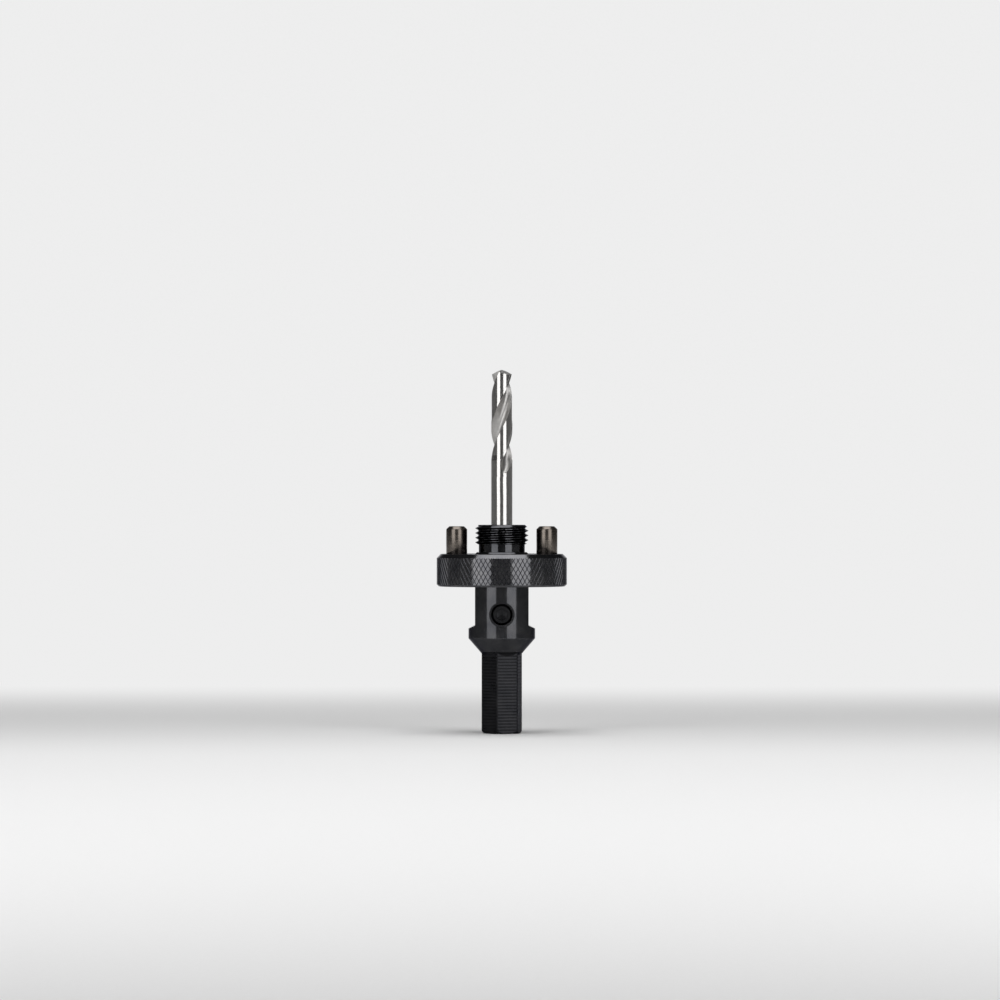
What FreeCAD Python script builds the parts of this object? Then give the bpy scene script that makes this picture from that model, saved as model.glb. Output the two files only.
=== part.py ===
import FreeCAD, Part
import math
import os

# A hole saw arbor, standing on the end of its hex shank with the pilot drill pointing up.
# Millimetres. The origin is the centre of the shank's end face, +Z runs along the axis to the
# drill's tip, and the front, where the set screw is, faces -Y.

# Hex shank
hex_across_flats = 11.0
hex_across_corners = 12.6    # turned down a little from the sharp corners
hex_turn_deg = 17.0          # one flat faces the front, turned this far to the right
shank_length = 24.2          # from the end face to where the corners meet the cone
shank_chamfer = 0.9
shank_chamfer_deg = 50.0     # from the axis

# Cone and body
cone_half_angle_deg = 41.0
cone_root = 0.25             # the cone starts this far inside the hex's flats
body_dia = 20.0
body_across_flats = 16.0     # the two flats face left and right, towards the pins
step_length = 2.95           # full diameter between the cone and the flats
flat_runout = 1.0            # height of the slant where the flats end
flat_length = 21.8
body_chamfer = 0.5

# Threaded nose, five eighths of an inch
relief_dia = 13.8
relief_length = 2.4
nose_dia = 15.875
nose_length = 5.8
nose_chamfer = 0.9

# Bore for the pilot drill
bore_floor = 6.8             # from the shank's end face to the drill's tail
bore_clearance = 0.05        # on the radius
bore_chamfer = 0.4

# Set screw, M6, in the front of the body
screw_dia = 6.0
screw_clearance = 0.05       # on the radius
screw_above_runout = 3.3     # from the foot of the flats to the screw's axis
screw_chamfer = 0.6
screw_socket = 3.0           # across the flats of the hex socket
screw_socket_depth = 2.4
screw_spotface_dia = 7.6
screw_spotface_bite = 1.0    # how far the spot face goes into the round of the body
screw_recess = 0.825         # from the spot face in to the screw, when it is tight

# Driving collar
collar_dia = 39.0
collar_thickness = 9.7
collar_below_nose_step = 0.5  # top of the collar to the step under the nose, pins out
collar_clearance = 0.08       # between the double-D bore and the body, on each side
collar_top_chamfer = 1.2
collar_bottom_chamfer = 0.6
collar_bore_chamfer = 0.5

# Drive pins, stepped: the shoulder seats on the collar and the tail is pressed into it
pin_dia = 6.3
pin_tail_dia = 5.0
pin_circle_dia = 27.0
pin_stand = 8.3              # how far they stand out of the collar
pin_top_chamfer = 0.9
pin_tail_inset = 0.3         # the tail stops this far above the collar's underside

# Pilot drill
drill_dia = 6.35
drill_length = 102.0
flute_length = 31.3          # from the tip to where the flutes have run out
flute_runout_radius = 6.0    # of the wheel's path as it leaves the steel
flute_lead = 37.2
flute_floor_radius = 1.4
flute_floor_offset = 0.95    # where the straight lip face meets the floor's round
web_thickness = 0.95
margin_width = 0.65
land_relief = 0.12           # how far the land behind the margin is ground down
lip_turn_deg = -17.0         # the lips' turn from the X axis at the tip
point_angle_deg = 135.0
lip_relief_deg = 12.0
split_floor_deg = 48.0       # fall of the split point's notches, from level
split_wall_deg = 25.0        # rise of their outer walls, from level
split_offset = 0.06          # from the axis to each notch, which leaves a short chisel edge

# Heights along the axis, and what follows from the sizes above
cone_height = (body_dia - hex_across_corners) / 2 / math.tan(math.radians(cone_half_angle_deg))
cone_top = shank_length + cone_height
runout_low = cone_top + step_length
runout_high = runout_low + flat_runout
body_top = runout_high + flat_length
relief_top = body_top + relief_length
nose_top = relief_top + nose_length
collar_top = body_top - collar_below_nose_step
collar_low = collar_top - collar_thickness
pin_low = collar_low + pin_tail_inset
pin_top = collar_top + pin_stand
screw_height = runout_high + screw_above_runout
spotface_floor = body_dia / 2 - screw_spotface_bite
screw_length = spotface_floor - screw_recess - drill_dia / 2
drill_tip = bore_floor + drill_length

beyond = 1.0                 # how far a cutting shape runs past the face that it opens
stations_per_turn = 10       # of the helix, where its cutters have a section
up = FreeCAD.Vector(0, 0, 1)
front = FreeCAD.Vector(0, -1, 0)


def point(x, y, z=0.0):
    return FreeCAD.Vector(x, y, z)


def polar(radius, angle_deg, z=0.0):
    angle = math.radians(angle_deg)
    return point(radius * math.cos(angle), radius * math.sin(angle), z)


# A solid turned about Z from an outline of (radius, height) corners.
def turned(corners):
    outline = [point(radius, 0, height) for radius, height in corners]
    face = Part.Face(Part.makePolygon(outline + outline[:1]))
    return face.revolve(point(0, 0), up, 360)


def hex_prism(across_flats, height, first_corner_deg):
    corner = across_flats / 2 / math.cos(math.radians(30))
    corners = [polar(corner, first_corner_deg + 60 * side) for side in range(6)]
    face = Part.Face(Part.makePolygon(corners + corners[:1]))
    return face.extrude(up * height)


# A prism across the part along Y from an outline of (x, z) corners, and its twin on the other side.
def pair_along_y(corners, half_width):
    outline = [point(x, -half_width, z) for x, z in corners]
    right = Part.Face(Part.makePolygon(outline + outline[:1])).extrude(point(0, 2 * half_width))
    left = right.copy()
    left.rotate(point(0, 0), up, 180)
    return [right, left]


# A block that fills the space on one side of a plane.
def block_beyond(origin, normal, size):
    block = Part.makeBox(2 * size, 2 * size, size, point(-size, -size))
    block.Placement = FreeCAD.Placement(origin, FreeCAD.Rotation(up, normal))
    return block


def cut_all(solid, tools):
    for tool in tools:
        solid = solid.cut(tool)
    return solid


def save(solid, name):
    solid.exportStep(os.path.join("parts", name + ".step"))


# Arbor body

# The hex bar, turned at the corners and chamfered at the end.
def make_shank():
    corner = hex_across_corners / 2
    chamfer_rise = shank_chamfer / math.tan(math.radians(shank_chamfer_deg))
    turned_bar = turned([
        (0, 0),
        (corner - shank_chamfer, 0),
        (corner, chamfer_rise),
        (corner, cone_top),
        (0, cone_top),
    ])
    # front is at -90 degrees, and a corner lies 30 degrees from a flat's middle
    first_corner = -90 + hex_turn_deg - 30
    return turned_bar.common(hex_prism(hex_across_flats, cone_top, first_corner))


# Everything turned above the shank. The cone starts inside the hex, so the flats cut scallops in it.
def make_turned_body():
    start_radius = hex_across_flats / 2 - cone_root
    start_drop = (hex_across_corners / 2 - start_radius) / math.tan(math.radians(cone_half_angle_deg))
    body = body_dia / 2
    nose = nose_dia / 2
    relief = relief_dia / 2
    return turned([
        (0, shank_length - start_drop),
        (start_radius, shank_length - start_drop),
        (body, cone_top),
        (body, body_top - body_chamfer),
        (body - body_chamfer, body_top),
        (relief, body_top),
        (relief, relief_top),
        (nose, relief_top),
        (nose, nose_top - nose_chamfer),
        (nose - nose_chamfer, nose_top),
        (0, nose_top),
    ])


# What the milling cutter takes off each side, with the slanted end that it leaves.
def make_flat_cutters():
    flat = body_across_flats / 2
    outside = body_dia / 2 + beyond
    slope = flat_runout / (body_dia / 2 - flat)
    return pair_along_y([
        (flat, runout_high),
        (outside, runout_high - slope * (outside - flat)),
        (outside, body_top + beyond),
        (flat - body_chamfer - beyond, body_top + beyond),
        (flat, body_top - body_chamfer),
    ], body_dia)


# The blind bore, flat at the bottom where the drill's tail seats, with a chamfer at the mouth.
def make_bore():
    radius = drill_dia / 2 + bore_clearance
    return turned([
        (0, bore_floor),
        (radius, bore_floor),
        (radius, nose_top - bore_chamfer),
        (radius + bore_chamfer + beyond, nose_top + beyond),
        (0, nose_top + beyond),
    ])


# The tapped hole for the set screw with its spot face, from the front into the bore.
def make_screw_hole():
    hole = Part.makeCylinder(
        screw_dia / 2 + screw_clearance, body_dia / 2 + beyond, point(0, 0, screw_height), front
    )
    spotface = Part.makeCylinder(
        screw_spotface_dia / 2,
        screw_spotface_bite + beyond,
        point(0, -spotface_floor, screw_height),
        front,
    )
    return [hole, spotface]


def make_arbor_body():
    body = make_turned_body().fuse(make_shank())
    body = cut_all(body, make_flat_cutters() + [make_bore()] + make_screw_hole())
    return body.removeSplitter()


# Set screw

# Its flat tip bears on the pilot drill, and its socket faces the front.
def make_set_screw():
    radius = screw_dia / 2
    screw = turned([
        (0, 0),
        (radius, 0),
        (radius, screw_length - screw_chamfer),
        (radius - screw_chamfer, screw_length),
        (0, screw_length),
    ])
    socket = hex_prism(screw_socket, screw_socket_depth + beyond, 0)
    socket.translate(point(0, 0, screw_length - screw_socket_depth))
    screw = screw.cut(socket)
    screw.rotate(point(0, 0), point(1, 0), 90)
    screw.translate(point(0, -drill_dia / 2, screw_height))
    return screw


# Driving collar

# The double-D hole that slides on the body, with a lead-in on its round sides.
def make_collar_bore():
    radius = body_dia / 2 + collar_clearance
    flat = body_across_flats / 2 + collar_clearance
    depth = collar_thickness + 2 * beyond
    round_hole = Part.makeCylinder(radius, depth, point(0, 0, collar_low - beyond))
    slot = Part.makeBox(
        2 * flat, 4 * radius, depth, point(-flat, -2 * radius, collar_low - beyond)
    )
    lead = radius + collar_bore_chamfer + beyond
    top_lead = turned([
        (0, collar_top - collar_bore_chamfer - radius),
        (lead, collar_top + beyond),
        (0, collar_top + beyond),
    ])
    bottom_lead = turned([
        (0, collar_low + collar_bore_chamfer + radius),
        (0, collar_low - beyond),
        (lead, collar_low - beyond),
    ])
    return round_hole.fuse([top_lead, bottom_lead]).common(slot)


def pin_centre(side, z):
    return point(side * pin_circle_dia / 2, 0, z)


def make_drive_collar():
    radius = collar_dia / 2
    collar = turned([
        (0, collar_low),
        (radius - collar_bottom_chamfer, collar_low),
        (radius, collar_low + collar_bottom_chamfer),
        (radius, collar_top - collar_top_chamfer),
        (radius - collar_top_chamfer, collar_top),
        (0, collar_top),
    ])
    depth = collar_thickness + 2 * beyond
    holes = [
        Part.makeCylinder(pin_tail_dia / 2, depth, pin_centre(side, collar_low - beyond))
        for side in (-1, 1)
    ]
    return cut_all(collar, [make_collar_bore()] + holes)


def make_drive_pin(side):
    head = pin_dia / 2
    tail = pin_tail_dia / 2
    pin = turned([
        (0, pin_low),
        (tail, pin_low),
        (tail, collar_top),
        (head, collar_top),
        (head, pin_top - pin_top_chamfer),
        (head - pin_top_chamfer, pin_top),
        (0, pin_top),
    ])
    pin.translate(pin_centre(side, 0))
    return pin


# Pilot drill

drill_radius = drill_dia / 2
half_web = web_thickness / 2
lip_angle_deg = math.degrees(math.asin(half_web / drill_radius))

# The flute's heel face is straight too, square to the lip face, and the round floor joins the two.
heel_x = flute_floor_offset - flute_floor_radius
heel_angle_deg = math.degrees(math.acos(heel_x / drill_radius))
flute_middle_deg = (lip_angle_deg + heel_angle_deg) / 2

# The flutes are full depth from the tip down to flute_low, and run out below.
flute_runout = math.sqrt(2 * flute_runout_radius * (drill_radius - half_web))
flute_low = drill_tip - flute_length + flute_runout


# The lips' direction at a height, for a right-hand helix.
def lip_direction_deg(z):
    return lip_turn_deg + 360 * (z - drill_tip) / flute_lead


# A quarter circle from start to end, rounding the square corner between them.
def quarter_round(start, corner, end):
    bow = 4 * (math.sqrt(2) - 1) / 3
    curve = Part.BezierCurve()
    curve.setPoles([start, start + (corner - start) * bow, end + (corner - end) * bow, end])
    return curve.toShape()


# A flute's section: the lip face, the floor, the heel face, and outer sides clear of the steel.
# lift moves the whole section outwards, along the flute's middle.
def flute_section(z, lift):
    outside = drill_radius + beyond
    lip_out = point(outside, half_web)
    lip_in = point(flute_floor_offset, half_web)
    heel_in = point(heel_x, half_web + flute_floor_radius)
    heel_out = point(heel_x, outside)
    corner = point(outside, outside)
    section = Part.Wire([
        Part.makeLine(lip_out, lip_in),
        quarter_round(lip_in, point(heel_x, half_web), heel_in),
        Part.makeLine(heel_in, heel_out),
        Part.makeLine(heel_out, corner),
        Part.makeLine(corner, lip_out),
    ])
    section.translate(polar(lift, flute_middle_deg, z))
    section.rotate(point(0, 0), up, lip_direction_deg(z))
    return section


# A wedge over the land, from inside the flute behind it to its margin.
def land_section(z):
    inside = half_web
    outside = 2 * drill_radius
    margin_deg = math.degrees(margin_width / drill_radius)
    start = heel_angle_deg - margin_deg
    end = 180 + lip_angle_deg - margin_deg
    corners = [
        polar(inside, start, z),
        polar(outside, start, z),
        polar(outside, end, z),
        polar(inside, end, z),
    ]
    section = Part.makePolygon(corners + corners[:1])
    section.rotate(point(0, 0), up, lip_direction_deg(z))
    return section


# Evenly spaced heights for the sections of a helical cutter.
def stations(low, high):
    count = max(2, math.ceil((high - low) * stations_per_turn / flute_lead))
    return [low + (high - low) * step / count for step in range(count + 1)]


def with_twin(solid):
    twin = solid.copy()
    twin.rotate(point(0, 0), up, 180)
    return [solid, twin]


def make_flute_cutters():
    leaving = [
        flute_section(z, (flute_low - z) ** 2 / (2 * flute_runout_radius))
        for z in stations(flute_low - flute_runout, flute_low)[:-1]
    ]
    full = [flute_section(z, 0) for z in stations(flute_low, drill_tip + beyond)]
    return with_twin(Part.makeLoft(leaving + full, True))


# The thin layer that is ground off each land behind its margin.
def make_land_cutters():
    height = drill_tip + beyond - flute_low
    layer = Part.makeCylinder(drill_radius + beyond, height, point(0, 0, flute_low)).cut(
        Part.makeCylinder(drill_radius - land_relief, height, point(0, 0, flute_low))
    )
    wedge = Part.makeLoft([land_section(z) for z in stations(flute_low, drill_tip + beyond)], True)
    return with_twin(layer.common(wedge))


# The two flanks behind the lips, and the two notches of the split point.
def make_point_cutters():
    fall = math.tan(math.radians(90 - point_angle_deg / 2))
    relief = math.tan(math.radians(lip_relief_deg))
    clear = 3 * drill_radius
    flank = block_beyond(point(0, 0), point(fall, -relief, 1), clear)

    # each notch runs along the inner lip, from the chisel edge to the flute's floor
    along = point(flute_floor_offset, half_web).normalize()
    across = up.cross(along)
    floor_fall = math.radians(split_floor_deg)
    wall_rise = math.radians(split_wall_deg)
    floor = along * math.cos(floor_fall) - up * math.sin(floor_fall)
    wall = across * math.cos(wall_rise) + up * math.sin(wall_rise)
    corner = along * split_offset
    notch = block_beyond(corner, across, clear).common(block_beyond(corner, floor.cross(wall), clear))
    cutters = with_twin(flank) + with_twin(notch)
    for cutter in cutters:
        cutter.rotate(point(0, 0), up, lip_turn_deg)
        cutter.translate(point(0, 0, drill_tip))
    return cutters


def make_pilot_drill():
    drill = Part.makeCylinder(drill_radius, drill_length, point(0, 0, bore_floor))
    return cut_all(drill, make_land_cutters() + make_flute_cutters() + make_point_cutters())


os.makedirs("parts", exist_ok=True)
save(make_arbor_body(), "arbor_body")
save(make_set_screw(), "set_screw")
save(make_drive_collar(), "drive_collar")
save(make_drive_pin(-1), "drive_pin_left")
save(make_drive_pin(1), "drive_pin_right")
save(make_pilot_drill(), "pilot_drill")
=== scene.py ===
import math

import bmesh
import bpy
import numpy as np
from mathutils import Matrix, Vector


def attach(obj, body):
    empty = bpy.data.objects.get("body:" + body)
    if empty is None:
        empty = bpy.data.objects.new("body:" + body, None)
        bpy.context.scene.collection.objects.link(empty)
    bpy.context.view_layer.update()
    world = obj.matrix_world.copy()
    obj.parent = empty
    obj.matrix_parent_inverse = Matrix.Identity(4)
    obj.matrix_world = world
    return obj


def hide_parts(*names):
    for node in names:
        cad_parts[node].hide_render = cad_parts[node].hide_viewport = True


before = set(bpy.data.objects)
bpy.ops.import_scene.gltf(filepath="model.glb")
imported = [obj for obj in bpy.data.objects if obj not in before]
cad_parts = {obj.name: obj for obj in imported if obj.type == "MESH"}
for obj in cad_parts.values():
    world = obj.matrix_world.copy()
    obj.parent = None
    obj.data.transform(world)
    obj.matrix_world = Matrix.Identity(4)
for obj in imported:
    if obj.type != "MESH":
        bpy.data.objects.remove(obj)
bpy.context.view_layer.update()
print("frame loaded")

mm = 0.001        # the pieces' sizes are in millimetres, and the lengths in their looks in metres


# blends two surfaces into one edge with a small round
def softMin(a, b, blend):
    share = np.clip(0.5 + 0.5 * (b - a) / blend, 0, 1)
    return b * (1 - share) + a * share - blend * share * (1 - share)


def softMax(a, b, blend):
    return -softMin(-a, -b, blend)


def steps(low, high, step):
    count = max(1, math.ceil((high - low) / step - 1e-6))
    return np.linspace(low, high, count + 1)


# several runs of heights, each with its own step, joined without repeats
def heights(*runs):
    return np.unique(np.round(np.concatenate([steps(*run) for run in runs]), 5))


# even angles round the axis, the first one "start" steps on
def circle(count, start=0):
    return (np.arange(count) + start) * 2 * math.pi / count


def polar(radius, angle):
    return np.stack([radius * np.cos(angle), radius * np.sin(angle)], axis=-1)


def ring(angles, radius, height):
    return np.column_stack([polar(radius, angles), np.broadcast_to(height, angles.shape)])


# rings across a flat end face, from one outline to another
def faceRings(angles, start, end, height, shares=(0.03, 0.5, 0.97)):
    return [ring(angles, start + (end - start) * share, height) for share in shares]


# from the axis to a pair of flats that face along X
def flatsRadius(angles, halfWidth):
    return halfWidth / np.maximum(np.abs(np.cos(angles)), 1e-6)


# a right-hand thread, whose flanks run between two shares of the pitch
def threadRadius(angles, z, crest, depth, pitch, flank):
    turns = z / pitch - angles / (2 * math.pi)
    fromCrest = np.abs((turns + 0.5) % 1 - 0.5)
    fall = np.clip((fromCrest - flank[0]) / (flank[1] - flank[0]), 0, 1)
    return crest - depth * fall


def smooth(piece, sharpDeg=30):
    piece.data.shade_smooth()
    piece.data.set_sharp_from_angle(angle=math.radians(sharpDeg))


def newPiece(name, points, faces):
    mesh = bpy.data.meshes.new(name)
    mesh.from_pydata((np.asarray(points) * mm).tolist(), [], faces)
    mesh.validate()
    piece = bpy.data.objects.new(name, mesh)
    bpy.context.scene.collection.objects.link(piece)
    smooth(piece)
    return piece


# rings of equal count, from the bottom up the outside, become one closed skin
def skin(name, rings, tube=False):
    count = len(rings[0])
    here = np.arange(count)
    after = np.roll(here, -1)
    faces = []
    for row in range(len(rings) if tube else len(rings) - 1):
        low = row * count
        high = (row + 1) % len(rings) * count
        faces += np.stack([low + here, low + after, high + after, high + here], axis=1).tolist()
    if not tube:
        faces.append(here[::-1].tolist())
        faces.append((here + (len(rings) - 1) * count).tolist())
    return newPiece(name, np.concatenate(rings), faces)


# an outline of (radius, height) corners turned about Z, with a small bevel on each corner
def turnedSkin(name, outline, bevel, sides=96):
    corners = [np.array(corner, float) for corner in outline]
    path = [corners[0]]
    for before, corner, after in zip(corners, corners[1:], corners[2:]):
        toBefore = (before - corner) / np.linalg.norm(before - corner)
        toAfter = (after - corner) / np.linalg.norm(after - corner)
        for share in (0, 0.5, 1):
            path.append(corner + bevel * (toBefore * (1 - share) ** 2 + toAfter * share ** 2))
    path.append(corners[-1])
    return skin(name, [ring(circle(sides), radius, height) for radius, height in path])


# a cut can leave points on top of each other
def weld(mesh):
    welded = bmesh.new()
    welded.from_mesh(mesh)
    bmesh.ops.remove_doubles(welded, verts=welded.verts, dist=1e-7)
    welded.to_mesh(mesh)
    welded.free()


def cutAway(piece, cutters, operation="DIFFERENCE", sharpDeg=30):
    for cutter in cutters:
        cut = piece.modifiers.new("cut", "BOOLEAN")
        cut.operation = operation
        cut.solver = "EXACT"
        cut.object = cutter
    evaluated = piece.evaluated_get(bpy.context.evaluated_depsgraph_get())
    mesh = bpy.data.meshes.new_from_object(evaluated)
    piece.modifiers.clear()
    piece.data = mesh
    for cutter in cutters:
        bpy.data.objects.remove(cutter)
    weld(mesh)
    smooth(piece, sharpDeg)


def dress(piece, node, body, material):
    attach(piece, body)
    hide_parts(node)
    piece.data.materials.clear()
    piece.data.materials.append(material)
    print("made", piece.name, len(piece.data.polygons), "faces")


# Materials

waveScale = 0.314        # a wave texture's scale, for lines one metre apart


def newMaterial(name):
    material = bpy.data.materials.new(name)
    material.use_nodes = True
    return material, material.node_tree


# an input gets a value, or is joined to another node's output
def fill(tree, socket, value):
    if isinstance(value, bpy.types.NodeSocket):
        tree.links.new(value, socket)
    elif socket.type == "RGBA":
        socket.default_value = (*value, 1)
    else:
        socket.default_value = value


# settings and inputs of a node by name, with _ for a space
def setNode(tree, node, **values):
    for name, value in values.items():
        if hasattr(node, name):
            setattr(node, name, value)
        else:
            fill(tree, node.inputs[name.replace("_", " ")], value)
    return node


def addNode(tree, kind, **values):
    return setNode(tree, tree.nodes.new(kind), **values)


def objectPlace(tree):
    return tree.nodes.new("ShaderNodeTexCoord").outputs["Object"]


def noise(tree, place, scale, detail, roughness=0.5):
    return addNode(
        tree, "ShaderNodeTexNoise", Vector=place, Scale=scale, Detail=detail, Roughness=roughness
    ).outputs["Fac"]


# lines across Z, or rings round it, "pitch" metres apart
def fineLines(tree, place, pitch, distortion, detail=2.0, kind="BANDS"):
    return addNode(
        tree, "ShaderNodeTexWave", wave_type=kind, bands_direction="Z", rings_direction="Z",
        Vector=place, Scale=waveScale / pitch, Distortion=distortion, Detail=detail
    ).outputs["Fac"]


def maths(tree, operation, *values):
    node = addNode(tree, "ShaderNodeMath", operation=operation)
    for socket, value in zip(node.inputs, values):
        fill(tree, socket, value)
    return node.outputs[0]


def mapRange(tree, value, low, high, atLow=0.0, atHigh=1.0, easing="LINEAR"):
    return addNode(
        tree, "ShaderNodeMapRange", interpolation_type=easing, Value=value,
        From_Min=low, From_Max=high, To_Min=atLow, To_Max=atHigh
    ).outputs["Result"]


# a ramp of two colours, each with its place on it
def colourRamp(tree, value, low, high):
    ramp = addNode(tree, "ShaderNodeValToRGB", Fac=value)
    for element, (position, colour) in zip(ramp.color_ramp.elements, (low, high)):
        element.position = position
        element.color = (*colour, 1)
    return ramp.outputs["Color"]


def mixColours(tree, share, first, second, blend="MIX"):
    node = addNode(tree, "ShaderNodeMix", data_type="RGBA", blend_type=blend, Factor=share)
    sockets = [socket for socket in node.inputs if socket.type == "RGBA"]
    for socket, colour in zip(sockets, (first, second)):
        fill(tree, socket, colour)
    return [socket for socket in node.outputs if socket.type == "RGBA"][0]


# relief of a texture, on top of the relief that "under" already has
def bump(tree, height, depth, strength, under=None):
    node = addNode(tree, "ShaderNodeBump", Height=height, Distance=depth, Strength=strength)
    if under is not None:
        tree.links.new(under, node.inputs["Normal"])
    return node.outputs["Normal"]


# Oil-blackened steel: nearly black, with the tool marks left under the oxide. Marks run
# round the part, and are "markPitch" apart along it.
blackedLook = {
    "dark": (0.04, 0.041, 0.045),
    "light": (0.064, 0.064, 0.067),
    "worn": (0.15, 0.145, 0.14),
    "edgeTint": (0.45, 0.45, 0.47),
    "roughness": (0.06, 0.12),
    "cloudSize": 210.0,
    "grainSize": 2600.0,
    "grainDepth": 0.0000015,
    "markDepth": 0.000003,
    "facedRoughness": 0.2,
    "ringPitch": 0.00017,
    "ringDepth": 0.0000035,
    "feedDepth": 0.000036,
    "milledRoughness": 0.2,
    # the milled hex's colour is multiplied by this: painted shade that dims the soft boxes'
    # reflections in its faces
    "milledPaintedShade": (0.37, 0.37, 0.38),
}


def blackedSteel(
    name, markPitch=0.0002, paintedLightScale=1.0, dullness=0.0, rubbedEdges=False, feedPitch=0.0, feedTop=0.0
):
    look = blackedLook
    material, tree = newMaterial(name)
    place = objectPlace(tree)
    shape = tree.nodes.new("ShaderNodeNewGeometry").outputs
    cloud = noise(tree, place, look["cloudSize"], 5.0, 0.6)
    # paintedLightScale makes a lighter or darker copy of the same blackened steel: painted highlight
    # above 1, painted shade below 1
    colour = colourRamp(
        tree, cloud,
        (0.35, tuple(paintedLightScale * level for level in look["dark"])),
        (0.72, tuple(paintedLightScale * level for level in look["light"])),
    )
    if rubbedEdges:
        edge = colourRamp(tree, shape["Pointiness"], (0.52, (0, 0, 0)), (0.6, (1, 1, 1)))
        colour = mixColours(tree, maths(tree, "MULTIPLY", edge, cloud), colour, look["worn"])
    smoothest, roughest = (level + dullness for level in look["roughness"])
    roughness = mapRange(tree, cloud, 0.3, 0.7, smoothest, roughest)
    grain = noise(tree, place, look["grainSize"], 3.0)
    relief = bump(tree, grain, look["grainDepth"], 0.6)

    # end faces are faced off on the lathe: duller, with fine rings round the axis
    facing = addNode(tree, "ShaderNodeSeparateXYZ", Vector=shape["Normal"]).outputs["Z"]
    faced = maths(tree, "GREATER_THAN", maths(tree, "ABSOLUTE", facing), 0.9)
    roughness = maths(tree, "MULTIPLY_ADD", faced, look["facedRoughness"], roughness)
    rings = fineLines(tree, place, look["ringPitch"], 0.4, kind="RINGS")
    relief = bump(tree, maths(tree, "MULTIPLY", rings, faced), look["ringDepth"], 0.6, relief)
    marks = fineLines(tree, place, markPitch, 0.6)
    relief = bump(tree, marks, look["markDepth"], 0.5, relief)

    if feedPitch:
        # the hex below feedTop is milled: feed lines, duller than the turned steel, and darkened as
        # painted shade that dims the soft boxes' reflections in its faces
        height = addNode(tree, "ShaderNodeSeparateXYZ", Vector=place).outputs["Z"]
        milled = maths(tree, "LESS_THAN", height, feedTop)
        feed = maths(tree, "MULTIPLY", fineLines(tree, place, feedPitch, 0.25), milled)
        relief = bump(tree, feed, look["feedDepth"], 0.8, relief)
        roughness = maths(tree, "MULTIPLY_ADD", milled, look["milledRoughness"], roughness)
        colour = mixColours(tree, milled, colour, look["milledPaintedShade"], "MULTIPLY")
    setNode(
        tree, tree.nodes["Principled BSDF"], Metallic=1.0, Specular_Tint=look["edgeTint"],
        Base_Color=colour, Roughness=roughness, Normal=relief
    )
    return material


# Ground steel, bright or darkened by heat, with fine grinding lines round the part. Nearer the
# axis than "landRadius" it is the duller finish of ground flutes.
def groundSteel(
    name, dark, light, roughness, linePitch, lineDepth, landRadius=0.0, fluteRoughness=0.0
):
    material, tree = newMaterial(name)
    place = objectPlace(tree)
    stretched = addNode(tree, "ShaderNodeMapping", Vector=place, Scale=(1, 1, 9)).outputs["Vector"]
    streak = noise(tree, stretched, 420.0, 6.0, 0.65)
    colour = colourRamp(tree, streak, (0.3, dark), (0.7, light))
    finish = mapRange(tree, streak, 0.3, 0.7, *roughness)
    if landRadius:
        flattened = addNode(tree, "ShaderNodeVectorMath", operation="MULTIPLY")
        fill(tree, flattened.inputs[0], place)
        fill(tree, flattened.inputs[1], (1, 1, 0))
        fromAxis = addNode(tree, "ShaderNodeVectorMath", operation="LENGTH")
        fill(tree, fromAxis.inputs[0], flattened.outputs["Vector"])
        inFlute = maths(tree, "LESS_THAN", fromAxis.outputs["Value"], landRadius)
        finish = maths(tree, "MULTIPLY_ADD", inFlute, fluteRoughness, finish)
    lines = fineLines(tree, place, linePitch, 3.0, 3.0)
    setNode(
        tree, tree.nodes["Principled BSDF"], Metallic=1.0,
        Base_Color=colour, Roughness=finish, Normal=bump(tree, lines, lineDepth, 0.5)
    )
    return material


# Arbor body: hex shank, cone, flatted body, relief, threaded nose, bore

arbor = {
    "hexFlats": 11.0, "hexCorners": 12.6, "hexTurnDeg": 17.0,
    "shankTop": 24.2, "shankChamfer": 0.9, "shankChamferDeg": 50.0,
    "coneDeg": 41.0,
    "bodyDia": 20.0, "bodyFlats": 16.0, "runoutHigh": 32.406, "runoutSlope": 0.5,
    "bodyTop": 54.206, "bodyChamfer": 0.5,
    "reliefDia": 13.8, "reliefTop": 56.606,
    "noseDia": 15.875, "noseTop": 62.406, "noseChamfer": 0.9,
    "threadPitch": 1.411, "threadDepth": 0.866, "threadFlank": (0.06, 0.42), "threadRound": 0.08,
    "leadStep": 0.3, "leadSlope": 2.5,
    "boreDia": 6.45, "boreFloor": 6.8, "boreChamfer": 0.4,
    "screwHeight": 35.706, "screwHoleDia": 6.1, "spotfaceDia": 7.6, "spotfaceBite": 1.0,
    "tapTurns": 7, "tapPitch": 0.8, "tapDepth": 0.3,
    "edgeRound": 0.12,
    "look": {"markPitch": 0.00022, "feedPitch": 0.00092, "feedTop": 0.0245},
}


def shankAndBodyRadius(angles, z):
    a = arbor
    corner = a["hexCorners"] / 2
    body = a["bodyDia"] / 2
    blend = a["edgeRound"]
    # a flat faces the front, at -90 degrees, and is turned on from there
    fromFlat = np.degrees(angles) + 90 - a["hexTurnDeg"]
    fromFlat = np.radians((fromFlat + 30) % 60 - 30)
    hexRadius = a["hexFlats"] / 2 / np.cos(fromFlat)
    chamfer = corner - a["shankChamfer"] + z * math.tan(math.radians(a["shankChamferDeg"]))
    shank = softMin(hexRadius, min(corner, chamfer), blend)
    tanCone = math.tan(math.radians(a["coneDeg"]))
    coneTop = a["shankTop"] + (body - corner) / tanCone
    if z < coneTop - 6:        # well below the cone
        return shank
    turnedPart = softMin(corner + (z - a["shankTop"]) * tanCone, body, blend)
    turnedPart = softMin(turnedPart, body + a["bodyTop"] - a["bodyChamfer"] - z, blend)
    both = softMax(shank, turnedPart, blend) if z < coneTop else turnedPart
    flat = a["bodyFlats"] / 2 + max(0.0, a["runoutHigh"] - z) / a["runoutSlope"]
    flat -= max(0.0, z - a["bodyTop"] + a["bodyChamfer"])
    return softMin(both, flatsRadius(angles, flat), blend)


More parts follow.
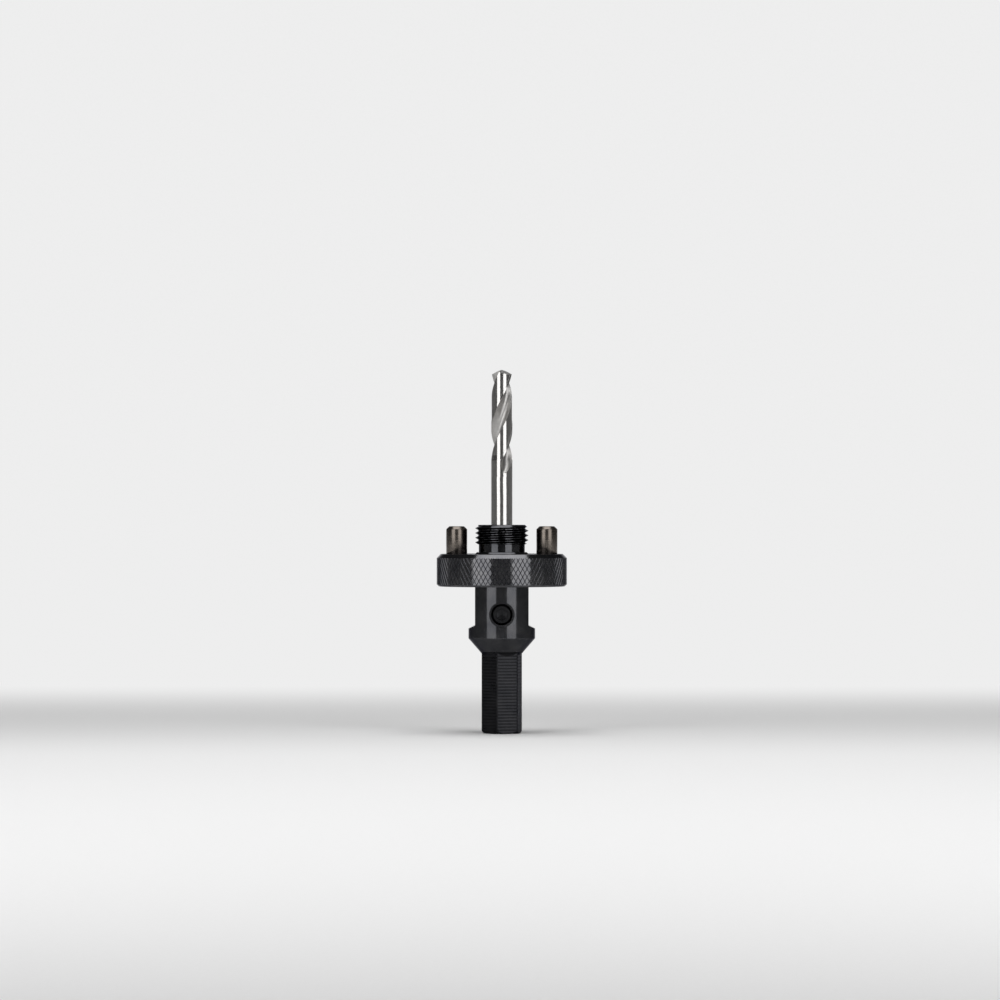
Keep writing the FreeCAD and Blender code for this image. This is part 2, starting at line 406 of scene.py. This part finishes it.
def noseRadius(angles, z):
    a = arbor
    crest = a["noseDia"] / 2
    thread = threadRadius(angles, z, crest, a["threadDepth"], a["threadPitch"], a["threadFlank"])
    thread = softMin(thread, crest - a["noseChamfer"] + a["noseTop"] - z, a["threadRound"])
    # the first turn is cut in through a short lead
    lead = a["reliefDia"] / 2 + (z - a["reliefTop"]) * a["leadSlope"] + a["leadStep"]
    return softMin(thread, lead, a["threadRound"])


# all round, and closer together at the corners of the hex and the edges of the flats
def arborAngles():
    a = arbor
    hexCorners = [-90 + a["hexTurnDeg"] + 30 + 60 * side for side in range(6)]
    edgeDeg = math.degrees(math.acos(a["bodyFlats"] / a["bodyDia"]))
    flatEdges = [edgeDeg, 180 - edgeDeg, 180 + edgeDeg, -edgeDeg]
    byCorner = (-2.2, -1.5, -0.9, -0.4, 0, 0.4, 0.9, 1.5, 2.2)
    byEdge = (-1.2, -0.6, 0, 0.6, 1.2)
    near = [corner + offset for corner in hexCorners for offset in byCorner]
    near += [edge + offset for edge in flatEdges for offset in byEdge]
    degrees = np.concatenate([np.degrees(circle(252)), near]) % 360
    return np.radians(np.unique(np.round(degrees, 3)))


# the set screw's tapped hole with its spot face, bored from the front
def screwHoleCutter():
    a = arbor
    hole = a["screwHoleDia"] / 2
    spotface = a["spotfaceDia"] / 2
    floor = a["bodyDia"] / 2 - a["spotfaceBite"]
    outline = [(hole, 0.8)]        # radius, and how far from the arbor's axis
    for turn in reversed(range(a["tapTurns"])):
        groove = floor - 1.1 - a["tapPitch"] * turn
        outline += [(hole + a["tapDepth"], groove), (hole, groove + 0.42)]
    outline += [(hole, floor - 0.25), (hole + 0.15, floor), (spotface, floor), (spotface, 12)]
    cutter = skin("screw_hole", [ring(circle(72), radius, height) for radius, height in outline])
    cutter.rotation_euler.x = math.pi / 2
    cutter.location.z = a["screwHeight"] * mm
    return cutter


def makeArbor():
    a = arbor
    angles = arborAngles()
    # rows of points close together where the outline bends, and far apart between
    chamferTop = a["shankChamfer"] / math.tan(math.radians(a["shankChamferDeg"])) + 0.25
    outside = heights(
        (0, chamferTop, 0.07), (chamferTop, 22.4, 4.5), (22.4, 25.0, 0.07),
        (25.0, 28.2, 0.4), (28.2, 28.9, 0.06), (28.9, 31.0, 0.7), (31.0, 32.7, 0.07),
        (32.7, 53.4, 0.85), (53.4, a["bodyTop"], 0.07),
    )
    reliefRows = (a["bodyTop"] + 0.05, a["bodyTop"] + 0.15, 55.4, a["reliefTop"] - 0.05)
    noseRows = heights((a["reliefTop"], a["noseTop"], 0.07))
    boreRows = (a["noseTop"] - a["boreChamfer"], a["noseTop"] - 1.5, 48, 41, 30, a["boreFloor"])

    end = shankAndBodyRadius(angles, 0.0)
    shoulder = shankAndBodyRadius(angles, a["bodyTop"])
    relief = a["reliefDia"] / 2
    bore = a["boreDia"] / 2
    mouth = bore + a["boreChamfer"]
    rings = [ring(angles, end * share, 0) for share in (0.9, 0.98)]
    rings += [ring(angles, shankAndBodyRadius(angles, z), z) for z in outside]
    rings += faceRings(angles, shoulder, relief, a["bodyTop"], (0.03, 0.5, 0.96))
    rings += [ring(angles, relief, z) for z in reliefRows]
    rings += [ring(angles, noseRadius(angles, z), z) for z in noseRows]
    rings += faceRings(angles, noseRadius(angles, a["noseTop"]), mouth, a["noseTop"])
    rings.append(ring(angles, mouth, a["noseTop"]))
    rings += [ring(angles, bore, z) for z in boreRows]
    piece = skin("turned_arbor", rings)
    cutAway(piece, [screwHoleCutter()])
    return piece


dress(
    makeArbor(), "arbor_body", "arbor",
    blackedSteel("blacked turned steel", **arbor["look"]),
)


# Set screw, deep in its hole

screw = {
    "dia": 6.0, "length": 5.0, "chamfer": 0.45, "tipChamfer": 0.5, "tip": 3.175,
    "socket": 3.0, "socketDepth": 2.4, "socketChamfer": 0.12,
    "pitch": 1.0, "threadDepth": 0.4, "threadFlank": (0.08, 0.42), "edgeRound": 0.06,
    # the screw's steel is 0.45 times as light as the arbor's: painted shade of its recess in the hole
    "look": {"paintedLightScale": 0.45, "dullness": 0.25},
}


def makeSetScrew():
    s = screw
    angles = circle(120)
    radius = s["dia"] / 2
    top = s["length"]
    rings = []
    for z in heights((0, top, 0.09)):
        thread = threadRadius(angles, z, radius, s["threadDepth"], s["pitch"], s["threadFlank"])
        thread = softMin(thread, radius - s["chamfer"] + top - z, s["edgeRound"])
        thread = softMin(thread, radius - s["tipChamfer"] + z, s["edgeRound"])
        rings.append(ring(angles, thread, z))
    sixth = math.pi / 3
    socket = s["socket"] / 2 / np.cos((angles + sixth / 2) % sixth - sixth / 2)
    rim = radius - s["chamfer"]
    floor = top - s["socketDepth"]
    inward = [
        (rim * 0.6 + socket * 0.4, top), (socket + s["socketChamfer"], top),
        (socket, top - s["socketChamfer"]), (socket, floor), (socket * 0.15, floor - 0.25),
    ]
    rings += [ring(angles, inner, z) for inner, z in inward]
    piece = skin("socket_screw", rings)
    piece.rotation_euler.x = math.pi / 2
    piece.location = (0, -s["tip"] * mm, arbor["screwHeight"] * mm)
    return piece


dress(
    makeSetScrew(), "set_screw", "arbor",
    blackedSteel("blacked screw steel", **screw["look"]),
)


# Driving collar with its diamond knurl and double-D bore

collar = {
    "dia": 39.0, "low": 44.006, "top": 53.706, "topChamfer": 1.2, "bottomChamfer": 0.6,
    "boreDia": 20.16, "boreFlats": 16.16, "boreChamfer": 0.5, "boreRound": 0.15,
    "pinHoleDia": 5.0, "pinCircle": 27.0,
    "knurlCount": 88, "knurlDeg": 30.0, "knurlDepth": 0.12, "grooveShare": 0.08,
    # the collar's steel is 1.6 times as light as the arbor's: painted highlight on the knurl
    "look": {"markPitch": 0.00018, "paintedLightScale": 1.6, "rubbedEdges": True},
}


# a bar with two crossing families of V grooves; each diamond keeps a flat top
def knurledBar(low, high):
    c = collar
    count = c["knurlCount"]
    offsets = (0, c["grooveShare"], 0.5, 1 - c["grooveShare"])
    fine = len(offsets)
    climb = math.tan(math.radians(c["knurlDeg"])) * count / (math.pi * c["dia"])
    spare = 3        # past both ends, where the bar is cut flat
    first = math.floor(2 * (low - spare) * climb)
    last = math.ceil(2 * (high + spare) * climb)
    points, faces, known = [], [], {}

    def corner(a, b):
        turns = math.floor(a / (fine * count))
        key = (a - fine * count * turns, b - fine * count * turns)
        if key not in known:
            u = key[0] // fine + offsets[key[0] % fine]
            v = key[1] // fine + offsets[key[1] % fine]
            angle = math.pi * (u + v) / count
            inGroove = key[0] % fine == 0 or key[1] % fine == 0
            radius = c["dia"] / 2 - (c["knurlDepth"] if inGroove else 0)
            known[key] = len(points)
            points.append((radius * math.cos(angle), radius * math.sin(angle), (u - v) / (2 * climb)))
        return known[key]

    for column in range(count):
        for drop in range(first, last):
            for p in range(fine):
                for q in range(fine):
                    a, b = fine * column + p, fine * (column - drop) + q
                    quad = corner(a, b), corner(a, b + 1), corner(a + 1, b + 1), corner(a + 1, b)
                    faces.append(quad[::-1])
    bar = newPiece("knurled_bar", points, faces)
    mesh = bmesh.new()
    mesh.from_mesh(bar.data)
    for z, way in ((low, -1), (high, 1)):
        bmesh.ops.bisect_plane(
            mesh, geom=list(mesh.verts) + list(mesh.edges) + list(mesh.faces),
            plane_co=(0, 0, z * mm), plane_no=(0, 0, way), clear_outer=True
        )
    bmesh.ops.edgeloop_fill(mesh, edges=[edge for edge in mesh.edges if edge.is_boundary])
    bmesh.ops.recalc_face_normals(mesh, faces=mesh.faces)
    mesh.to_mesh(bar.data)
    mesh.free()
    return bar


# the holes that the pins' tails are pressed into, clear of the collar's own points
def pinHoleCutters():
    c = collar
    around = circle(64, 0.5)
    cutters = []
    for side in (-1, 1):
        ends = [ring(around, c["pinHoleDia"] / 2, z) for z in (c["low"] - 1, c["top"] + 1)]
        cutter = skin("pin_hole", ends)
        cutter.location.x = side * c["pinCircle"] / 2 * mm
        cutters.append(cutter)
    return cutters


def makeCollar():
    c = collar
    angles = circle(240)
    flats = flatsRadius(angles, c["boreFlats"] / 2)
    bore = softMin(c["boreDia"] / 2, flats, c["boreRound"])
    mouth = softMin(c["boreDia"] / 2 + c["boreChamfer"], flats, c["boreRound"])
    # the rim stands out by "over", and is cut down to the knurled bar
    radius = c["dia"] / 2
    over = 0.4
    lowRim = radius - c["bottomChamfer"]
    topRim = radius - c["topChamfer"]
    outline = [
        (lowRim - 0.08, c["low"]), (lowRim + 0.06, c["low"] + 0.04),
        (radius + over, c["low"] + c["bottomChamfer"] + over),
        (radius + over, c["top"] - c["topChamfer"] - over),
        (topRim + 0.08, c["top"] - 0.06), (topRim - 0.1, c["top"]),
    ]
    inward = [
        (mouth - 0.05, c["top"] - 0.05), (bore, c["top"] - c["boreChamfer"]),
        (bore, c["low"] + c["boreChamfer"]), (mouth - 0.05, c["low"] + 0.05),
    ]
    rings = [ring(angles, outer, z) for outer, z in outline]
    rings += faceRings(angles, outline[-1][0], mouth, c["top"])
    rings += [ring(angles, inner, z) for inner, z in inward]
    rings += faceRings(angles, mouth, outline[0][0], c["low"])
    piece = skin("knurled_collar", rings, tube=True)
    cutAway(piece, pinHoleCutters())
    cutAway(piece, [knurledBar(c["low"] - 1, c["top"] + 1)], operation="INTERSECT", sharpDeg=20)
    return piece


dress(
    makeCollar(), "drive_collar", "collar",
    blackedSteel("blacked knurled steel", **collar["look"]),
)


# Drive pins, with their shoulders on the collar's top

pin = {
    "dia": 6.3, "tailDia": 5.0, "low": 44.306, "top": 62.006, "chamfer": 0.9, "edgeRound": 0.12,
    "look": {
        "dark": (0.09, 0.08, 0.072), "light": (0.15, 0.13, 0.112), "roughness": (0.16, 0.28),
        "linePitch": 0.00016, "lineDepth": 0.000002,
    },
}


def makePin(name, side):
    p = pin
    head = p["dia"] / 2
    tail = p["tailDia"] / 2
    seat = collar["top"]
    centre = 0.2
    piece = turnedSkin(name, [
        (centre, p["low"]), (tail, p["low"]), (tail, seat), (head, seat),
        (head, p["top"] - p["chamfer"]), (head - p["chamfer"], p["top"]), (centre, p["top"]),
    ], p["edgeRound"])
    piece.location.x = side * collar["pinCircle"] / 2 * mm
    return piece


pinMaterial = groundSteel("hardened pin steel", **pin["look"])
dress(makePin("left_drive_pin", -1), "drive_pin_left", "collar", pinMaterial)
dress(makePin("right_drive_pin", 1), "drive_pin_right", "collar", pinMaterial)


# Pilot drill: two right-hand flutes, ground margins and a split point

drill = {
    "dia": 6.35, "tail": 6.8, "tip": 108.8, "fluteLength": 31.3, "runoutRadius": 6.0, "lead": 37.2,
    "floorRadius": 1.4, "floorOffset": 0.95, "web": 0.95,
    "margin": 0.65, "relief": 0.12, "reliefRunout": 1.5,
    "lipTurnDeg": -17.0, "pointDeg": 135.0, "lipReliefDeg": 12.0,
    "splitFloorDeg": 48.0, "splitWallDeg": 25.0, "splitOffset": 0.06,
    "tailChamfer": 0.3, "tailShare": 0.92, "rowStep": 0.16,
    "look": {
        "dark": (0.36, 0.352, 0.345), "light": (0.46, 0.452, 0.44), "roughness": (0.08, 0.16),
        "linePitch": 0.00012, "lineDepth": 0.0000012, "landRadius": 0.00303, "fluteRoughness": 0.3,
    },
}
drillRadius = drill["dia"] / 2
halfWeb = drill["web"] / 2
lipDeg = math.degrees(math.asin(halfWeb / drillRadius))
heelX = drill["floorOffset"] - drill["floorRadius"]
heelDeg = math.degrees(math.acos(heelX / drillRadius))
fluteMiddle = math.radians((lipDeg + heelDeg) / 2)
fluteRunout = math.sqrt(2 * drill["runoutRadius"] * (drillRadius - halfWeb))
fluteLow = drill["tip"] - drill["fluteLength"] + fluteRunout


# lip face, rounded floor and heel face of one flute, as one curve from rim to rim
def fluteCurve():
    lipIn = np.array([drill["floorOffset"], halfWeb])
    corner = np.array([heelX, halfWeb])
    heelIn = np.array([heelX, halfWeb + drill["floorRadius"]])
    bow = 4 * (math.sqrt(2) - 1) / 3        # handles that make a quarter of a circle
    t = np.linspace(0, 1, 30)[:, None]
    poles = [lipIn, lipIn + (corner - lipIn) * bow, heelIn + (corner - heelIn) * bow, heelIn]
    weights = [(1 - t) ** 3, 3 * t * (1 - t) ** 2, 3 * t ** 2 * (1 - t), t ** 3]
    floor = sum(weight * pole for weight, pole in zip(weights, poles))
    lipRim = np.array([drillRadius * math.cos(math.radians(lipDeg)), halfWeb])
    heelRim = np.array([heelX, drillRadius * math.sin(math.radians(heelDeg))])
    lipFace = lipRim + (lipIn - lipRim) * np.linspace(0, 1, 23)[:-1, None]
    heelFace = heelIn + (heelRim - heelIn) * np.linspace(0, 1, 17)[1:, None]
    return np.concatenate([lipFace, floor, heelFace])


# the drill's outline at one height: both flutes, the relieved lands and the margins
def drillSection(curve, z):
    d = drill
    lift = max(0.0, fluteLow - z) ** 2 / (2 * d["runoutRadius"])
    reliefShare = min(1.0, max(0.0, (z - fluteLow + d["reliefRunout"]) / d["reliefRunout"]))
    relieved = drillRadius - d["relief"] * reliefShare
    flute = curve + polar(lift, fluteMiddle)
    count = len(curve)
    limit = np.where(np.arange(count) < count / 2, drillRadius, relieved)
    radius = np.linalg.norm(flute, axis=1)
    inside = np.nonzero(radius < limit - 1e-4)[0]
    if len(inside):
        first, last = max(inside[0] - 1, 0), min(inside[-1] + 1, count - 1)
        for outer, inner in ((first, inside[0]), (last, inside[-1])):
            gap = radius[outer] - limit[outer]
            share = gap / (gap + limit[inner] - radius[inner])
            flute[outer] = flute[outer] + (flute[inner] - flute[outer]) * share
    else:
        first = last = count // 2
        flute[first] = polar(limit[first], fluteMiddle)
    # beyond where the flute meets the rim, its points lie on the rim, a small step apart
    rimStep = 0.006
    for rim, beyondRim in ((first, range(first)), (last, range(last + 1, count))):
        rimAngle = math.atan2(flute[rim][1], flute[rim][0])
        for index in beyondRim:
            flute[index] = polar(limit[index], rimAngle + rimStep * (index - rim))
    start = math.atan2(flute[-1][1], flute[-1][0])
    end = math.atan2(flute[0][1], flute[0][0]) + math.pi
    marginStart = end - d["margin"] / drillRadius
    land = polar(relieved, np.linspace(start, marginStart, 30)[1:])
    margin = polar(drillRadius, np.linspace(marginStart + 0.01, end, 9)[:-1])
    half = np.concatenate([flute, land, margin])
    return np.concatenate([half, -half])


def block(name, origin, normal, size):
    corners = [(x, y, z) for z in (0, 1) for y in (-1, 1) for x in (-1, 1)]
    faces = [(0, 2, 3, 1), (4, 5, 7, 6), (0, 1, 5, 4), (1, 3, 7, 5), (3, 2, 6, 7), (2, 0, 4, 6)]
    turn = Vector((0, 0, 1)).rotation_difference(normal)
    points = [Vector(origin) + turn @ (Vector(corner) * size) for corner in corners]
    return newPiece(name, [tuple(point) for point in points], faces)


# for each half of the point, the flank behind its lip and the notch that splits it
def pointCutters():
    d = drill
    up = Vector((0, 0, 1))
    clear = 3 * drillRadius
    fall = math.tan(math.radians(90 - d["pointDeg"] / 2))
    relief = math.tan(math.radians(d["lipReliefDeg"]))
    along = Vector((d["floorOffset"], halfWeb, 0)).normalized()
    across = up.cross(along)
    floorFall = math.radians(d["splitFloorDeg"])
    wallRise = math.radians(d["splitWallDeg"])
    floor = along * math.cos(floorFall) - up * math.sin(floorFall)
    wall = across * math.cos(wallRise) + up * math.sin(wallRise)
    corner = along * d["splitOffset"]
    cutters = []
    for half in (0, math.pi):
        flank = block("flank", (0, 0, 0), Vector((fall, -relief, 1)), clear)
        notch = block("notch", corner, across, clear)
        cutAway(notch, [block("notch_side", corner, floor.cross(wall), clear)], "INTERSECT")
        for cutter in (flank, notch):
            cutter.rotation_euler.z = half + math.radians(d["lipTurnDeg"])
            cutter.location.z = d["tip"] * mm
            cutters.append(cutter)
    return cutters


def makeDrill():
    d = drill
    curve = fluteCurve()
    low = fluteLow - fluteRunout
    plainRows = [d["tail"], d["tail"] + d["tailChamfer"], 30, 55, 70, low - 1]
    flutedRows = steps(low - 0.4, d["tip"] + 1, d["rowStep"])
    rings = []
    for z in np.concatenate([plainRows, flutedRows]):
        section = drillSection(curve, z)
        turn = math.radians(d["lipTurnDeg"] + 360 * (max(z, low - 1) - d["tip"]) / d["lead"])
        x = section[:, 0] * math.cos(turn) - section[:, 1] * math.sin(turn)
        y = section[:, 0] * math.sin(turn) + section[:, 1] * math.cos(turn)
        if z == d["tail"]:
            x, y = x * d["tailShare"], y * d["tailShare"]
        rings.append(np.stack([x, y, np.full(len(x), z)], axis=1))
    piece = skin("twist_drill", rings)
    cutAway(piece, pointCutters())
    return piece


dress(
    makeDrill(), "pilot_drill", "arbor",
    groundSteel("bright drill steel", **drill["look"]),
)


# Studio: a pale floor that curves up into a wall, two tall soft boxes in front and one overhead.
# The paper's own colour comes in from glowFrom to glowFull along Y, and goes out again from
# glowHalf to glowEdge at the sides.

studio = {
    "floorColour": (0.86, 0.86, 0.86), "floorRadius": 1.6, "wallRadius": 0.35, "wallHeight": 1.2,
    "glowFrom": -0.15, "glowFull": 0.4, "glowHalf": 0.36, "glowEdge": 0.8,
    "worldLevel": 0.1,
    "boxDistance": 0.9, "boxAzimuthsDeg": (-36, 34), "boxHalfDeg": 16.5,
    "boxHeight": 1.0, "boxLevel": 2.6,
    "topSize": 0.8, "topHeight": 1.0, "topForward": 0.1, "topLevel": 3.2,
}


# Pale paper. Behind the part it shows its own colour in the picture and in reflections, and
# elsewhere the wall shows the world's grey there.
def palePaper():
    s = studio
    material, tree = newMaterial("pale sweep paper")
    place = objectPlace(tree)
    fibre = noise(tree, place, 900.0, 3.0)
    darker = tuple(level * 0.985 for level in s["floorColour"])
    colour = colourRamp(tree, fibre, (0.3, darker), (0.7, s["floorColour"]))
    shader = setNode(
        tree, tree.nodes["Principled BSDF"], Base_Color=colour, Roughness=0.9, Specular_IOR_Level=0.1
    )

    split = addNode(tree, "ShaderNodeSeparateXYZ", Vector=place).outputs
    aside = maths(tree, "ABSOLUTE", split["X"])
    back = mapRange(tree, split["Y"], s["glowFrom"], s["glowFull"], easing="SMOOTHSTEP")
    middle = mapRange(tree, aside, s["glowEdge"], s["glowHalf"], easing="SMOOTHSTEP")
    behind = maths(tree, "MULTIPLY", back, middle)
    wall = mapRange(tree, split["Z"], 0.0, s["wallRadius"], easing="SMOOTHSTEP")
    ray = tree.nodes.new("ShaderNodeLightPath").outputs
    seen = maths(tree, "MAXIMUM", ray["Is Camera Ray"], ray["Is Glossy Ray"])
    seen = maths(tree, "MAXIMUM", seen, ray["Is Transmission Ray"])
    share = maths(tree, "MULTIPLY", maths(tree, "MAXIMUM", behind, wall), seen)

    shown = mixColours(tree, behind, (s["worldLevel"],) * 3, colour)
    glow = addNode(tree, "ShaderNodeEmission", Color=shown)
    mix = addNode(tree, "ShaderNodeMixShader", Fac=share)
    fill(tree, mix.inputs[1], shader.outputs["BSDF"])
    fill(tree, mix.inputs[2], glow.outputs["Emission"])
    fill(tree, tree.nodes["Material Output"].inputs["Surface"], mix.outputs["Shader"])
    return material


def makeSweep():
    s = studio
    sides, bends = 128, 16
    path = [(s["floorRadius"], 0.0)]
    for step in range(1, bends + 1):
        angle = math.pi / 2 * step / bends
        outward = s["floorRadius"] + s["wallRadius"] * math.sin(angle)
        path.append((outward, s["wallRadius"] * (1 - math.cos(angle))))
    path.append((s["floorRadius"] + s["wallRadius"], s["wallHeight"]))
    points = np.concatenate([ring(circle(sides), radius, height) for radius, height in path])
    faces = [tuple(range(sides))]
    for row in range(0, len(points) - sides, sides):
        for side in range(sides):
            after = (side + 1) % sides
            faces.append((row + side, row + sides + side, row + sides + after, row + after))
    mesh = bpy.data.meshes.new("sweep")
    mesh.from_pydata(points.tolist(), [], faces)
    mesh.shade_smooth()
    mesh.polygons[0].use_smooth = False        # the floor itself is flat
    sweep = bpy.data.objects.new("sweep", mesh)
    bpy.context.scene.collection.objects.link(sweep)
    mesh.materials.append(palePaper())


def softBox(name, place, target, size, level):
    lamp = bpy.data.lights.new(name, "AREA")
    lamp.shape = "RECTANGLE"
    lamp.size, lamp.size_y = size
    lamp.energy = level * math.pi * size[0] * size[1]
    holder = bpy.data.objects.new(name, lamp)
    holder.location = place
    holder.rotation_euler = (Vector(target) - Vector(place)).to_track_quat("-Z", "Y").to_euler()
    holder.visible_camera = False
    bpy.context.scene.collection.objects.link(holder)


def makeStudio():
    s = studio
    makeSweep()
    width = 2 * s["boxDistance"] * math.tan(math.radians(s["boxHalfDeg"]))
    z = s["boxHeight"] / 2
    for name, azimuth in zip(("left box", "right box"), s["boxAzimuthsDeg"]):
        angle = math.radians(azimuth)
        x = s["boxDistance"] * math.sin(angle)
        y = -s["boxDistance"] * math.cos(angle)
        softBox(name, (x, y, z), (0, 0, z), (width, s["boxHeight"]), s["boxLevel"])
    above = (0, -s["topForward"], s["topHeight"])
    softBox("top box", above, (0, 0, 0), (s["topSize"], s["topSize"]), s["topLevel"])
    world = bpy.data.worlds.new("studio")
    world.use_nodes = True
    level = s["worldLevel"]
    world.node_tree.nodes["Background"].inputs["Color"].default_value = (level, level, level, 1)
    bpy.context.scene.world = world


# the camera looks level along Y; fieldWidth is what it sees at the arbor's axis
view = {"distance": 1.5, "fieldWidth": 0.2994, "aside": -0.00054, "height": 0.06985}


def makeCamera():
    camera = bpy.data.cameras.new("camera")
    camera.sensor_width = 36
    camera.lens = camera.sensor_width * view["distance"] / view["fieldWidth"]
    holder = bpy.data.objects.new("camera", camera)
    holder.location = (view["aside"], -view["distance"], view["height"])
    holder.rotation_euler = (math.pi / 2, 0, 0)
    bpy.context.scene.collection.objects.link(holder)
    bpy.context.scene.camera = holder


makeStudio()
makeCamera()
bpy.context.scene.view_settings.view_transform = "Standard"
print("studio made")

bpy.context.view_layer.update()
